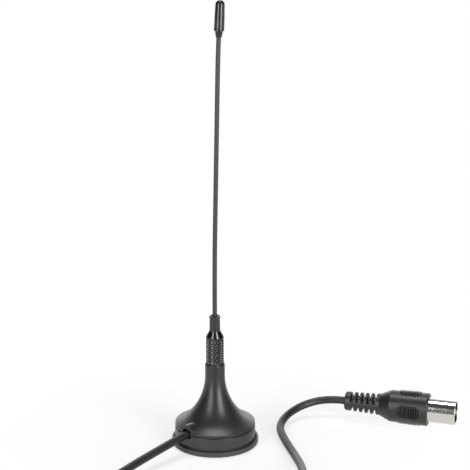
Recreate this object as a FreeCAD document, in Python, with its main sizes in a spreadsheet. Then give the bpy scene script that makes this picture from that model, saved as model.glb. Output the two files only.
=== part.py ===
import FreeCAD, Part
import math
import os
import re
import Sketcher

# A whip antenna on a magnetic base, with its coaxial lead and plug. Millimetres, +Z up,
# origin at the centre of the foot's underside, front towards -Y.

SIZES = {
    # Foot pad, magnet and plate
    "foot_lip": 0.8,
    "foot_height": 2.0,
    "foot_floor": 0.8,
    "foot_edge": 0.15,
    "foot_round": 0.6,
    "crevice": 0.35,
    "magnet_play": 0.4,
    "magnet_thickness": 3.6,
    "plate_play": 0.2,
    "plate_thickness": 1.0,
    # Band and bell
    "rim_diameter": 30.0,
    "band_headroom": 1.85,
    "rim_height": 0.4,
    "band_proud": 0.1,
    "band_wall": 1.8,
    "seam_gap": 0.3,
    "seam_depth": 0.7,
    "seam_round": 0.25,
    "spigot_height": 0.6,
    "spigot_wall": 0.7,
    "bell_wall": 1.5,
    "flank_radius": 22.3,
    "flank_angle": 33.0,
    "skirt_radius": 10.8,
    "shoulder_radius": 2.7,
    "neck_diameter": 7.4,
    "bell_height": 23.75,
    "neck_edge": 0.2,
    "cavity_height": 7.75,
    # Cable exit in the bell and the band
    "exit_angle": 42.0,
    "exit_rise": 0.4,
    "exit_bore": 4.2,
    "exit_slope": 0.12,
    "cable_sag": 0.15,
    "hood_side": 0.5,
    "hood_wall": 1.25,
    "hood_root": 8.0,
    "hood_overhang": 0.8,
    "hood_edge": 0.3,
    "hood_blend": 0.5,
    # Stud in the neck
    "stud_diameter": 3.5,
    "stud_head_diameter": 6.0,
    "stud_head_thickness": 1.2,
    "thread_diameter": 3.0,
    "thread_length": 7.0,
    # Collar, whip and cap
    "knurl_diameter": 6.6,
    "knurl_length": 10.7,
    "collar_foot": 0.1,
    "collar_flare": 0.9,
    "collar_cone": 2.3,
    "ferrule_diameter": 4.05,
    "ferrule_waist": 3.9,
    "ferrule_length": 5.7,
    "lip_diameter": 4.25,
    "lip_height": 0.5,
    "lip_wall": 0.2,
    "lip_sink": 0.9,
    "tap_spare": 1.0,
    "rod_diameter": 1.7,
    "rod_grip": 4.9,
    "rod_upright": 21.3,
    "rod_bend_radius": 1330.0,
    "rod_lean": 1.12,
    "rod_rise": 74.5,
    "tip_bend_radius": 540.0,
    "tip_lean": 2.5,
    "tip_rise": 6.8,
    "cap_mouth_diameter": 2.1,
    "cap_cone_diameter": 2.85,
    "cap_cone": 2.0,
    "cap_flare_diameter": 3.85,
    "cap_flare_level": 2.55,
    "cap_flare_height": 0.3,
    "cap_flare_slope": 0.35,
    "cap_diameter": 3.7,
    "cap_taper_level": 6.4,
    "cap_top_diameter": 3.42,
    "cap_top_level": 11.65,
    "cap_length": 13.05,
    "cap_bore_depth": 10.4,
    # Lead
    "cable_diameter": 3.0,
    "cable_inset": 9.0,
    "cable_first_run": 15.4,
    "crimp_length": 2.5,
    "crimp_wall": 0.6,
    "core_diameter": 0.6,
    "core_bend": 2.0,
    "braid_diameter": 0.8,
    "braid_side": 0.95,
    "braid_run": 2.0,
    "braid_bend": 1.2,
    # Coil and its tie
    "coil_x": 10.0,
    "coil_y": -83.0,
    "coil_mean_diameter": 33.2,
    "coil_width": 11.4,
    "coil_layers": 4,
    "coil_stub": 12.0,
    "coil_run_in": 14.2,
    "coil_run_out": 12.6,
    "tie_thickness": 0.5,
    "tie_angle": 14.0,
    "tie_turn": 135.0,
    # Plug, measured from the lead's end of its boot
    "plug_x": 51.0,
    "plug_y": 24.0,
    "plug_heading": -17.0,
    "tail_diameter": 7.3,
    "tail_round": 0.6,
    "relief_diameter": 8.4,
    "relief_length": 13.8,
    "relief_core": 4.9,
    "slot_first": 3.07,
    "slot_pitch": 2.2,
    "slot_count": 5,
    "slot_width": 0.95,
    "slot_chamfer": 0.25,
    "spine_angle": 30.0,
    "boot_cone": 4.3,
    "boot_rear_diameter": 12.24,
    "boot_front_diameter": 12.7,
    "boot_length": 14.8,
    "boot_chamfer": 0.4,
    "pad_diameter": 13.5,
    "pad_taper": 0.45,
    "pad_root": 0.9,
    "pad_inset": 3.1,
    "pad_angle": 50.0,
    "pad_corner_angle": 38.0,
    "rib_pitch": 0.956,
    "rib_count": 9,
    "rib_crest": 0.35,
    "sleeve_diameter": 9.525,
    "sleeve_bore": 8.2,
    "sleeve_length": 10.6,
    "sleeve_buried": 8.0,
    "sleeve_root_diameter": 9.1,
    "sleeve_edge": 0.2,
    "clamp_flange": 1.0,
    "clamp_barrel": 4.4,
    "clamp_wall": 0.5,
    "clamp_grip": 1.5,
    "insulator_inset": 1.0,
    "insulator_length": 7.0,
    "pin_diameter": 2.4,
    "pin_recess": 0.3,
    "pin_tail_diameter": 1.6,
    # Clearance between pieces that fit in one another
    "fit": 0.05,
}

doc = FreeCAD.newDocument("whip_antenna")
sheet = doc.addObject("Spreadsheet::Sheet", "dim")
for row, (alias, value) in enumerate(SIZES.items(), 1):
    sheet.set(f"A{row}", alias)
    sheet.set(f"B{row}", str(value))
    sheet.setAlias(f"B{row}", alias)
doc.recompute()


def bound(text):
    """Turns a formula in the sheet's words into an expression that names its cells."""
    return re.sub(r"[a-z][a-z_]+", lambda word: "dim." + word[0] if word[0] in SIZES else word[0], str(text))


def size(text):
    """The value of a formula in the sheet's words."""
    return float(sheet.evalExpression(bound(text)))


def new_body(label):
    body = doc.addObject("PartDesign::Body", label)
    body.Label = label
    return body


def new_sketch(body, role, label, offset="0"):
    """An empty sketch on one of the body's own planes, or at an offset from it."""
    plane = next(item for item in body.Origin.OriginFeatures if item.Role == role)
    sketch = body.newObject("Sketcher::SketchObject", label)
    sketch.AttachmentSupport = (plane, "")
    sketch.MapMode = "FlatFace"
    sketch.setExpression(".AttachmentOffset.Base.z", bound(offset))
    return sketch


def draw(sketch, corners):
    """Draws a closed outline. A corner is (across, up), or (across, up, radius) where the side that
    leaves it is an arc: a positive radius bulges to the right of the way along, a negative to the left."""
    spots = [FreeCAD.Vector(size(corner[0]), size(corner[1]), 0) for corner in corners]
    for index, corner in enumerate(corners):
        start = spots[index]
        end = spots[(index + 1) % len(spots)]
        if len(corner) == 2:
            geometry = Part.LineSegment(start, end)
        else:
            radius = size(corner[2])
            chord = end - start
            right = FreeCAD.Vector(chord.y, -chord.x, 0).normalize()
            rise = abs(radius) - math.sqrt(max(radius ** 2 - (chord.Length / 2) ** 2, 0))
            geometry = Part.Arc(start, (start + end) / 2 + right * math.copysign(rise, radius), end)
        sketch.addGeometry(geometry, False)
    # An arc keeps its ends in counter-clockwise order, so the end that lies on each corner is looked up.
    near = []
    for index, spot in enumerate(spots):
        first = sketch.getPoint(index, 1)
        near.append((1, 2) if first.distanceToPoint(spot) < 1e-6 else (2, 1))
    for index, corner in enumerate(corners):
        before = (index - 1) % len(corners)
        meeting = Sketcher.Constraint("Coincident", before, near[before][1], index, near[index][0])
        sketch.addConstraint(meeting)
        for kind, text in (("DistanceX", corner[0]), ("DistanceY", corner[1])):
            place = sketch.addConstraint(Sketcher.Constraint(kind, index, near[index][0], size(text)))
            sketch.setExpression(f"Constraints[{place}]", bound(text))
        if len(corner) == 3:
            place = sketch.addConstraint(Sketcher.Constraint("Radius", index, abs(size(corner[2]))))
            sketch.setExpression(f"Constraints[{place}]", bound(f"abs({corner[2]})"))


def draw_circle(sketch, across, up, diameter):
    centre = FreeCAD.Vector(size(across), size(up), 0)
    circle = Part.Circle(centre, FreeCAD.Vector(0, 0, 1), size(diameter) / 2)
    sketch.addGeometry(circle, False)
    for kind, text in (("DistanceX", across), ("DistanceY", up)):
        place = sketch.addConstraint(Sketcher.Constraint(kind, 0, 3, size(text)))
        sketch.setExpression(f"Constraints[{place}]", bound(text))
    place = sketch.addConstraint(Sketcher.Constraint("Diameter", 0, size(diameter)))
    sketch.setExpression(f"Constraints[{place}]", bound(diameter))


def turn(body, kind, corners, label, angle="360"):
    """Revolves an outline, drawn in the XZ plane, about Z: a Revolution adds it and a Groove cuts it."""
    sketch = new_sketch(body, "XZ_Plane", label + "_outline")
    draw(sketch, corners)
    feature = body.newObject("PartDesign::" + kind, label)
    feature.Profile = (sketch, [""])
    feature.ReferenceAxis = (sketch, ["V_Axis"])
    feature.Midplane = angle != "360"
    feature.setExpression("Angle", bound(angle))
    doc.recompute()
    return feature


def extrude(body, kind, sketch, length, label, reverse=False):
    """A Pad or Pocket of a sketch."""
    feature = body.newObject("PartDesign::" + kind, label)
    feature.Profile = (sketch, [""])
    feature.Reversed = reverse
    feature.setExpression("Length", bound(length))
    doc.recompute()
    return feature


def ring_edges(feature, diameter, level):
    """The names of a feature's circular edges of one diameter at one level."""
    names = []
    for index, edge in enumerate(feature.Shape.Edges, 1):
        curve = edge.Curve
        if isinstance(curve, Part.Circle) and abs(curve.Radius - size(diameter) / 2) < 1e-4:
            if abs(curve.Center.z - size(level)) < 1e-4:
                names.append(f"Edge{index}")
    if not names:
        raise RuntimeError(f"no edge of diameter {diameter} at {level}")
    return names


def seam_edges(feature, one, other):
    """The names of a feature's edges where a face that passes one test meets a face that passes the other."""
    names = []
    for index, edge in enumerate(feature.Shape.Edges, 1):
        faces = feature.Shape.ancestorsOfType(edge, Part.Face)
        if any(one(face) for face in faces) and any(other(face) for face in faces):
            names.append(f"Edge{index}")
    if not names:
        raise RuntimeError(f"no seam on {feature.Label}")
    return names


def dress(body, kind, feature, edges, amount, label):
    """A Fillet or Chamfer on some of a feature's edges."""
    dressed = body.newObject("PartDesign::" + kind, label)
    dressed.Base = (feature, edges)
    dressed.setExpression("Radius" if kind == "Fillet" else "Size", bound(amount))
    doc.recompute()
    return dressed


def repeat(body, feature, count, label):
    """Copies a feature evenly round Z."""
    axis = next(item for item in body.Origin.OriginFeatures if item.Role == "Z_Axis")
    pattern = body.newObject("PartDesign::PolarPattern", label)
    pattern.Originals = [feature]
    pattern.Axis = (axis, [""])
    pattern.Angle = 360
    pattern.Occurrences = count
    body.Tip = pattern
    doc.recompute()
    return pattern


def cylinder(label, diameter, height, level):
    piece = doc.addObject("Part::Cylinder", label)
    piece.Label = label
    piece.setExpression("Radius", bound(f"({diameter}) / 2"))
    piece.setExpression("Height", bound(height))
    piece.Placement.Base.z = size(level)
    return piece


def check_cut(before, after, name):
    if after.Shape.Volume > before.Shape.Volume - 1e-3:
        raise RuntimeError(f"{name} cuts nothing")


def rounded_path(points, radii):
    """Straight runs through the points, joined by tangent arcs of the given radii."""
    edges = []
    start = points[0]
    for before, corner, after, radius in zip(points, points[1:], points[2:], radii):
        back = (before - corner).normalize()
        onward = (after - corner).normalize()
        half = (math.pi - back.getAngle(onward)) / 2
        reach = radius * math.tan(half)
        first = corner + back * reach
        last = corner + onward * reach
        inward = (back + onward).normalize()
        middle = corner + inward * (radius / math.cos(half) - radius)
        edges.append(Part.LineSegment(start, first).toShape())
        edges.append(Part.Arc(first, middle, last).toShape())
        start = last
    edges.append(Part.LineSegment(start, points[-1]).toShape())
    return Part.Wire(edges)


def free_radii(points):
    """The arc at each corner of a free cord, as large as its two runs allow."""
    radii = []
    for before, corner, after in zip(points, points[1:], points[2:]):
        shorter = min((corner - before).Length, (after - corner).Length)
        half = (corner - before).getAngle(after - corner) / 2
        radii.append(0.45 * shorter / math.tan(half))
    return radii


def tube(label, points, radii, diameter):
    """A round bar along a rounded path."""
    path = rounded_path(points, radii)
    circle = Part.Circle(points[0], points[1] - points[0], size(diameter) / 2)
    solid = path.makePipeShell([Part.Wire(circle.toShape())], True, True)
    expected = path.Length * math.pi * (size(diameter) / 2) ** 2
    if abs(solid.Volume / expected - 1) > 0.002:
        raise RuntimeError(f"{label}: volume {solid.Volume} for {expected}")
    piece = doc.addObject("Part::Feature", label)
    piece.Label = label
    piece.Shape = solid
    piece.Placement = FreeCAD.Placement()
    print(label, "length", round(path.Length, 1), "radii", [round(radius, 1) for radius in radii])
    return piece


vertical = FreeCAD.Vector(0, 0, 1)

# Levels and sizes of the base that follow from the pieces in it and from the bell's rim
rim_level = "(foot_floor + magnet_thickness + plate_thickness + band_headroom)"
cavity_roof = f"({rim_level} + cavity_height)"
neck_top = f"({rim_level} + bell_height)"
exit_level = f"({rim_level} + exit_rise)"
hood_width = "(exit_bore + 2 * hood_side)"
hood_crest = f"({exit_level} + exit_bore / 2 + hood_wall)"
band_diameter = "(rim_diameter + 2 * band_proud)"
band_bore = f"({band_diameter} - 2 * band_wall)"
dish_bore = f"({band_diameter} + 2 * crevice)"
foot_diameter = f"({dish_bore} + 2 * foot_lip)"
hood_reach = "(rim_diameter / 2 + hood_overhang)"
cable_end = "(rim_diameter / 2 - cable_inset)"

# Foot pad: a shallow soft dish that the band stands in
foot_pad = new_body("foot_pad")
foot_dish = turn(foot_pad, "Revolution", [
    ("0", "0"),
    (f"{foot_diameter} / 2", "0"),
    (f"{foot_diameter} / 2", "foot_height"),
    (f"{dish_bore} / 2", "foot_height"),
    (f"{dish_bore} / 2", "foot_floor"),
    ("0", "foot_floor"),
], "dish")
foot_top = ring_edges(foot_dish, foot_diameter, "foot_height")
eased_foot = dress(foot_pad, "Fillet", foot_dish, foot_top, "foot_edge", "eased_rim")
foot_under = ring_edges(eased_foot, foot_diameter, "0")
dress(foot_pad, "Fillet", eased_foot, foot_under, "foot_round", "rounded_underside")

magnet = cylinder("magnet", f"{band_bore} - 2 * magnet_play", "magnet_thickness", "foot_floor")
pole_plate = cylinder("pole_plate", f"{band_bore} - 2 * plate_play", "plate_thickness",
                      "foot_floor + magnet_thickness")

# The cable's exit points along -Y in the bell's and the band's own frames, which are turned together.
exit_turn = FreeCAD.Rotation(vertical, -size("exit_angle"))
exit_way = exit_turn.multVec(FreeCAD.Vector(0, -1, 0))

# Band: the upright ring, with a shadow gap under the bell's rim, a spigot inside it and a notch for the cable
base_band = new_body("base_band")
band_ring = turn(base_band, "Revolution", [
    (f"{band_bore} / 2", "foot_floor"),
    (f"{band_diameter} / 2", "foot_floor"),
    (f"{band_diameter} / 2", f"{rim_level} - seam_gap - seam_round", "seam_round"),
    (f"{band_diameter} / 2 - seam_round", f"{rim_level} - seam_gap"),
    (f"{band_diameter} / 2 - seam_depth", f"{rim_level} - seam_gap"),
    (f"{band_diameter} / 2 - seam_depth", rim_level),
    (f"{band_bore} / 2 + spigot_wall", rim_level),
    (f"{band_bore} / 2 + spigot_wall", f"{rim_level} + spigot_height"),
    (f"{band_bore} / 2", f"{rim_level} + spigot_height"),
], "ring")
notch_sketch = new_sketch(base_band, "XZ_Plane", "notch_outline")
draw_circle(notch_sketch, "0", exit_level, "exit_bore")
notch = extrude(base_band, "Pocket", notch_sketch, foot_diameter, "notch", True)
check_cut(band_ring, notch, "the band's notch")
base_band.Placement = FreeCAD.Placement(FreeCAD.Vector(), exit_turn)

# Bell: neck, flank, skirt, shoulder and rim in one outline of tangent arcs, then hood, hollow and exit.
# The centre of each arc is at its own "out" from the axis and at its own level.
base_bell = new_body("base_bell")
shoulder_out = "(rim_diameter / 2 - shoulder_radius)"
shoulder_level = f"({rim_level} + rim_height)"
flank_out = "(neck_diameter / 2 + flank_radius)"
skirt_out = f"({flank_out} - (flank_radius - skirt_radius) * cos(flank_angle))"
skirt_reach = "(skirt_radius + shoulder_radius)"
skirt_rise = f"sqrt({skirt_reach}^2 - ({skirt_out} - {shoulder_out})^2)"
skirt_level = f"({shoulder_level} + {skirt_rise})"
flank_level = f"({skirt_level} + (flank_radius - skirt_radius) * sin(flank_angle))"
bell_outside = turn(base_bell, "Revolution", [
    ("0", rim_level),
    ("rim_diameter / 2", rim_level),
    ("rim_diameter / 2", shoulder_level, "shoulder_radius"),
    (f"{shoulder_out} + shoulder_radius * ({skirt_out} - {shoulder_out}) / {skirt_reach}",
     f"{shoulder_level} + shoulder_radius * {skirt_rise} / {skirt_reach}", "-skirt_radius"),
    (f"{skirt_out} - skirt_radius * cos(flank_angle)",
     f"{skirt_level} - skirt_radius * sin(flank_angle)", "-flank_radius"),
    ("neck_diameter / 2", flank_level),
    ("neck_diameter / 2", f"{neck_top} - neck_edge", "neck_edge"),
    ("neck_diameter / 2 - neck_edge", neck_top),
    ("0", neck_top),
], "outside")
hood_sketch = new_sketch(base_bell, "XZ_Plane", "hood_outline", "hood_root")
draw(hood_sketch, [
    (f"-{hood_width} / 2", rim_level),
    (f"{hood_width} / 2", rim_level),
    (f"{hood_width} / 2", f"{hood_crest} - {hood_width} / 2", f"{hood_width} / 2"),
    ("0", hood_crest, f"{hood_width} / 2"),
    (f"-{hood_width} / 2", f"{hood_crest} - {hood_width} / 2"),
])
hood = extrude(base_bell, "Pad", hood_sketch, f"{hood_reach} - hood_root", "hood")
inner_skirt = "(skirt_radius + bell_wall)"
spigot_bore = f"({band_bore} / 2 + spigot_wall + fit)"
hollow_side = f"{skirt_level} - sqrt({inner_skirt}^2 - ({skirt_out} - {spigot_bore})^2)"
hollow = turn(base_bell, "Groove", [
    ("0", f"{rim_level} - fit"),
    (spigot_bore, f"{rim_level} - fit"),
    (spigot_bore, hollow_side, f"-{inner_skirt}"),
    (f"{skirt_out} - sqrt({inner_skirt}^2 - ({skirt_level} - {cavity_roof})^2)", cavity_roof),
    ("stud_diameter / 2 + fit", cavity_roof),
    ("stud_diameter / 2 + fit", f"{neck_top} + fit"),
    ("0", f"{neck_top} + fit"),
], "hollow")
check_cut(hood, hollow, "the bell's hollow")
exit_sketch = new_sketch(base_bell, "XZ_Plane", "exit_outline")
draw_circle(exit_sketch, "0", exit_level, "exit_bore")
exit_hole = extrude(base_bell, "Pocket", exit_sketch, foot_diameter, "exit_hole", True)
check_cut(hollow, exit_hole, "the cable's exit")


def on_hood(face):
    """Whether a face is the hood's arch or one of its upright sides."""
    surface = face.Surface
    if isinstance(surface, Part.Plane):
        return abs(surface.Axis.x) > 0.999
    return isinstance(surface, Part.Cylinder) and abs(surface.Radius - size(f"{hood_width} / 2")) < 1e-6


def on_hood_front(face):
    return isinstance(face.Surface, Part.Plane) and abs(face.Surface.Axis.y) > 0.999


def on_bell(face):
    """Whether a face is the bell's flank, shoulder or rim."""
    surface = face.Surface
    if isinstance(surface, Part.Cylinder):
        return abs(surface.Radius - size("rim_diameter / 2")) < 1e-6
    return isinstance(surface, Part.Toroid)


hood_front = seam_edges(exit_hole, on_hood, on_hood_front)
eased_hood = dress(base_bell, "Fillet", exit_hole, hood_front, "hood_edge", "eased_hood")
dress(base_bell, "Fillet", eased_hood, seam_edges(eased_hood, on_hood, on_bell), "hood_blend", "blended_hood")
base_bell.Placement = FreeCAD.Placement(FreeCAD.Vector(), exit_turn)

# Stud: its head is under the neck, and its thread stands out of the neck for the collar
neck_stud = new_body("neck_stud")
turn(neck_stud, "Revolution", [
    ("0", f"{cavity_roof} - stud_head_thickness"),
    ("stud_head_diameter / 2", f"{cavity_roof} - stud_head_thickness"),
    ("stud_head_diameter / 2", cavity_roof),
    ("stud_diameter / 2", cavity_roof),
    ("stud_diameter / 2", neck_top),
    ("thread_diameter / 2", neck_top),
    ("thread_diameter / 2", f"{neck_top} + thread_length"),
    ("0", f"{neck_top} + thread_length"),
], "turned_stud")

# Collar: foot, knurled barrel, cone and ferrule turned from one bar, tapped below, bored and belled above
knurl_top = f"{neck_top} + knurl_length"
ferrule_foot = f"{neck_top} + knurl_length + collar_cone"
collar_top = f"{neck_top} + knurl_length + collar_cone + ferrule_length"
whip_collar = new_body("whip_collar")
turn(whip_collar, "Revolution", [
    ("thread_diameter / 2 + fit", neck_top),
    ("neck_diameter / 2 - neck_edge", neck_top),
    ("neck_diameter / 2 - neck_edge", f"{neck_top} + collar_foot"),
    ("knurl_diameter / 2", f"{neck_top} + collar_foot + collar_flare"),
    ("knurl_diameter / 2", knurl_top),
    ("ferrule_diameter / 2", ferrule_foot),
    ("ferrule_waist / 2", f"{collar_top} - lip_height"),
    ("lip_diameter / 2", collar_top),
    ("lip_diameter / 2 - lip_wall", collar_top),
    ("rod_diameter / 2 + fit", f"{collar_top} - lip_sink"),
    ("rod_diameter / 2 + fit", f"{collar_top} - rod_grip"),
    ("0", f"{collar_top} - rod_grip"),
    ("0", f"{neck_top} + thread_length + tap_spare"),
    ("thread_diameter / 2 + fit", f"{neck_top} + thread_length + tap_spare"),
], "turned_collar")

# Whip: a wire bent a little above the collar and again below the cap
lean = math.radians(size("rod_lean"))
tip_lean = math.radians(size("tip_lean"))
rod_way = FreeCAD.Vector(math.sin(lean), 0, math.cos(lean))
tip_way = FreeCAD.Vector(math.sin(tip_lean), 0, math.cos(tip_lean))
rod_foot = vertical * size(f"{collar_top} - rod_grip")
rod_bend = vertical * size(f"{collar_top} + rod_upright")
tip_bend = rod_bend + rod_way * (size("rod_rise") / rod_way.z)
cap_foot = tip_bend + tip_way * (size("tip_rise") / tip_way.z)
rod_end = cap_foot + tip_way * size("cap_bore_depth")
whip_rod = tube("whip_rod", [rod_foot, rod_bend, tip_bend, rod_end],
                [size("rod_bend_radius"), size("tip_bend_radius")], "rod_diameter")

# Tip cap: cone, flare, tapered barrel and domed top, bored for the wire
dome = "cap_length - cap_top_level"
tip_cap = new_body("tip_cap")
turn(tip_cap, "Revolution", [
    ("rod_diameter / 2 + fit", "0"),
    ("cap_mouth_diameter / 2", "0"),
    ("cap_cone_diameter / 2", "cap_cone"),
    ("cap_flare_diameter / 2", "cap_flare_level"),
    ("cap_flare_diameter / 2", "cap_flare_level + cap_flare_height"),
    ("cap_diameter / 2", "cap_flare_level + cap_flare_height + cap_flare_slope"),
    ("cap_diameter / 2", "cap_taper_level"),
    ("cap_top_diameter / 2", "cap_top_level", f"((cap_top_diameter / 2)^2 + ({dome})^2) / (2 * ({dome}))"),
    ("0", "cap_length"),
    ("0", "cap_bore_depth"),
    ("rod_diameter / 2 + fit", "cap_bore_depth"),
], "moulded_cap")
tip_cap.Placement = FreeCAD.Placement(cap_foot, FreeCAD.Rotation(vertical, tip_way))


def on_exit(reach, side=0.0):
    """A point of the cable's line through its exit, at a distance from the antenna's axis."""
    level = size(f"{exit_level} - cable_sag") - size("exit_slope") * (reach - size(hood_reach))
    across = vertical.cross(exit_way)
    return exit_way * reach + across * side + vertical * level


# The cable's end in the base: the crimp on its jacket, the core up to the stud, the braid down to the plate
cable_start = on_exit(size(cable_end))
cable_way = (on_exit(size(hood_reach)) - cable_start).normalize()
cable_crimp = new_body("cable_crimp")
turn(cable_crimp, "Revolution", [
    ("cable_diameter / 2 + fit", "0"),
    ("cable_diameter / 2 + fit + crimp_wall", "0"),
    ("cable_diameter / 2 + fit + crimp_wall", "crimp_length"),
    ("cable_diameter / 2 + fit", "crimp_length"),
], "crimp_ring")
cable_crimp.Placement = FreeCAD.Placement(cable_start, FreeCAD.Rotation(vertical, cable_way))
stud_foot = vertical * size(f"{cavity_roof} - stud_head_thickness")
core_corner = cable_start - cable_way * (size(cable_end) / math.hypot(cable_way.x, cable_way.y))
core_tail = tube("core_tail", [cable_start, core_corner, stud_foot], [size("core_bend")], "core_diameter")
braid_start = cable_start + vertical.cross(exit_way) * size("braid_side")
braid_corner = braid_start - cable_way * (size("braid_run") / math.hypot(cable_way.x, cable_way.y))
plate_top = size("foot_floor + magnet_thickness + plate_thickness")
braid_foot = FreeCAD.Vector(braid_corner.x, braid_corner.y, plate_top)
braid_points = [braid_start, braid_corner, braid_foot]
braid_tail = tube("braid_tail", braid_points, [size("braid_bend")], "braid_diameter")

# Coil: the outer shape of its turns, with a straight stub where the cable comes in and one where it goes out
coil_centre = FreeCAD.Vector(size("coil_x"), size("coil_y"), 0)
turn_radius = "(coil_mean_diameter + coil_width - cable_diameter) / 2"
coil_top = "tie_thickness + coil_layers * cable_diameter"
low_turn = "tie_thickness + cable_diameter / 2"
high_turn = f"{coil_top} - cable_diameter / 2"
inner = "(coil_mean_diameter - coil_width) / 2"
outer = "(coil_mean_diameter + coil_width) / 2"
cable_coil = new_body("cable_coil")
coil_ring = turn(cable_coil, "Revolution", [
    (inner, "tie_thickness"),
    (outer, "tie_thickness"),
    (outer, coil_top),
    (inner, coil_top),
], "turns")
coil_edges = []
for across in ("coil_mean_diameter - coil_width", "coil_mean_diameter + coil_width"):
    for level in ("tie_thickness", coil_top):
        coil_edges += ring_edges(coil_ring, across, level)
dress(cable_coil, "Fillet", coil_ring, coil_edges, "cable_diameter / 2 - fit", "round_turns")
stub_in = new_sketch(cable_coil, "YZ_Plane", "stub_in_outline")
draw_circle(stub_in, f"-({turn_radius})", low_turn, "cable_diameter")
extrude(cable_coil, "Pad", stub_in, "coil_stub", "stub_in", True)
stub_out = new_sketch(cable_coil, "XZ_Plane", "stub_out_outline")
draw_circle(stub_out, turn_radius, high_turn, "cable_diameter")
extrude(cable_coil, "Pad", stub_out, "coil_stub", "stub_out", True)
cable_coil.Placement.Base = coil_centre

# Tie: a strap round the coil's section
coil_tie = new_body("coil_tie")
strap = turn(coil_tie, "Revolution", [
    (f"{inner} - tie_thickness", "0"),
    (f"{outer} + tie_thickness", "0"),
    (f"{outer} + tie_thickness", f"{coil_top} + tie_thickness"),
    (f"{inner} - tie_thickness", f"{coil_top} + tie_thickness"),
], "strap", "tie_angle")
strap_hole = turn(coil_tie, "Groove", [
    (inner, "tie_thickness"),
    (outer, "tie_thickness"),
    (outer, coil_top),
    (inner, coil_top),
], "strap_hole", "tie_angle + 1")
check_cut(strap, strap_hole, "the strap's hole")
coil_tie.Placement = FreeCAD.Placement(coil_centre, FreeCAD.Rotation(vertical, size("tie_turn")))

# Plug: it lies on the floor on its pads, its mouth to the right and a little to the front
heading = math.radians(size("plug_heading"))
plug_way = FreeCAD.Vector(math.cos(heading), math.sin(heading), 0)
plug_tail = FreeCAD.Vector(size("plug_x"), size("plug_y"), size("pad_diameter / 2"))
plug_turn = FreeCAD.Rotation(plug_way.cross(vertical), vertical, plug_way, "ZYX")
plug_place = FreeCAD.Placement(plug_tail, plug_turn)

boot_rear = "relief_length + boot_cone"
boot_front = "relief_length + boot_cone + boot_length"
sleeve_rear = f"{boot_front} - sleeve_buried"
barrel_end = f"{boot_front} - sleeve_buried - clamp_flange - clamp_barrel"
lead_end = f"{barrel_end} + clamp_grip"
mouth = f"{boot_front} + sleeve_length"

# Sleeve: the outer contact, with rounded edges at its mouth and a narrower root that the boot is moulded on
plug_sleeve = new_body("plug_sleeve")
sleeve_tube = turn(plug_sleeve, "Revolution", [
    ("sleeve_bore / 2", sleeve_rear),
    ("sleeve_root_diameter / 2", sleeve_rear),
    ("sleeve_root_diameter / 2", boot_front),
    ("sleeve_diameter / 2", boot_front),
    ("sleeve_diameter / 2", mouth),
    ("sleeve_bore / 2", mouth),
], "drawn_tube")
mouth_edges = ring_edges(sleeve_tube, "sleeve_diameter", mouth)
mouth_edges += ring_edges(sleeve_tube, "sleeve_bore", mouth)
dress(plug_sleeve, "Fillet", sleeve_tube, mouth_edges, "sleeve_edge", "mouth_edge")

# Clamp: a flange against the sleeve's rear end and a barrel crimped on the lead
plug_clamp = new_body("plug_clamp")
turn(plug_clamp, "Revolution", [
    ("cable_diameter / 2 + fit", barrel_end),
    ("cable_diameter / 2 + fit + clamp_wall", barrel_end),
    ("cable_diameter / 2 + fit + clamp_wall", f"{sleeve_rear} - clamp_flange"),
    ("sleeve_root_diameter / 2", f"{sleeve_rear} - clamp_flange"),
    ("sleeve_root_diameter / 2", sleeve_rear),
    ("cable_diameter / 2 + fit", sleeve_rear),
], "stepped_clamp")

# Insulator and pin
plug_insulator = new_body("plug_insulator")
turn(plug_insulator, "Revolution", [
    ("pin_diameter / 2 + fit", f"{sleeve_rear} + insulator_inset"),
    ("sleeve_bore / 2 - fit", f"{sleeve_rear} + insulator_inset"),
    ("sleeve_bore / 2 - fit", f"{sleeve_rear} + insulator_inset + insulator_length"),
    ("pin_diameter / 2 + fit", f"{sleeve_rear} + insulator_inset + insulator_length"),
], "disc")
plug_pin = new_body("plug_pin")
turn(plug_pin, "Revolution", [
    ("0", lead_end),
    ("pin_tail_diameter / 2", lead_end),
    ("pin_tail_diameter / 2", f"{sleeve_rear} + insulator_inset"),
    ("pin_diameter / 2", f"{sleeve_rear} + insulator_inset"),
    ("pin_diameter / 2", f"{mouth} - pin_recess - pin_diameter / 2", "pin_diameter / 2"),
    ("0", f"{mouth} - pin_recess"),
], "turned_pin")

# Boot: a turned outline with ring lands on the strain relief, two spines that join the lands, and ribbed pads
taper = "(relief_diameter - tail_diameter) / 2 / relief_length"
outline = [
    ("cable_diameter / 2 + fit", "0"),
    ("tail_diameter / 2 - tail_round", "0", "tail_round"),
    ("tail_diameter / 2", "tail_round"),
]
for slot in range(int(size("slot_count"))):
    low = f"slot_first + {slot} * slot_pitch - slot_width / 2"
    high = f"slot_first + {slot} * slot_pitch + slot_width / 2"
    outline += [
        (f"tail_diameter / 2 + ({taper}) * ({low} - slot_chamfer)", f"{low} - slot_chamfer"),
        (f"tail_diameter / 2 + ({taper}) * ({low}) - slot_chamfer", low),
        ("relief_core / 2", low),
        ("relief_core / 2", high),
        (f"tail_diameter / 2 + ({taper}) * ({high}) - slot_chamfer", high),
        (f"tail_diameter / 2 + ({taper}) * ({high} + slot_chamfer)", f"{high} + slot_chamfer"),
    ]
outline += [
    ("relief_diameter / 2", "relief_length"),
    ("boot_rear_diameter / 2", boot_rear),
    ("boot_front_diameter / 2", f"{boot_front} - boot_chamfer"),
    ("boot_front_diameter / 2 - boot_chamfer", boot_front),
    ("sleeve_root_diameter / 2 + fit", boot_front),
    ("sleeve_root_diameter / 2 + fit", f"{sleeve_rear} - clamp_flange"),
    ("cable_diameter / 2 + clamp_wall + 2 * fit", f"{sleeve_rear} - clamp_flange"),
    ("cable_diameter / 2 + clamp_wall + 2 * fit", barrel_end),
    ("cable_diameter / 2 + fit", barrel_end),
]
plug_boot = new_body("plug_boot")
turn(plug_boot, "Revolution", outline, "moulding")
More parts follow.
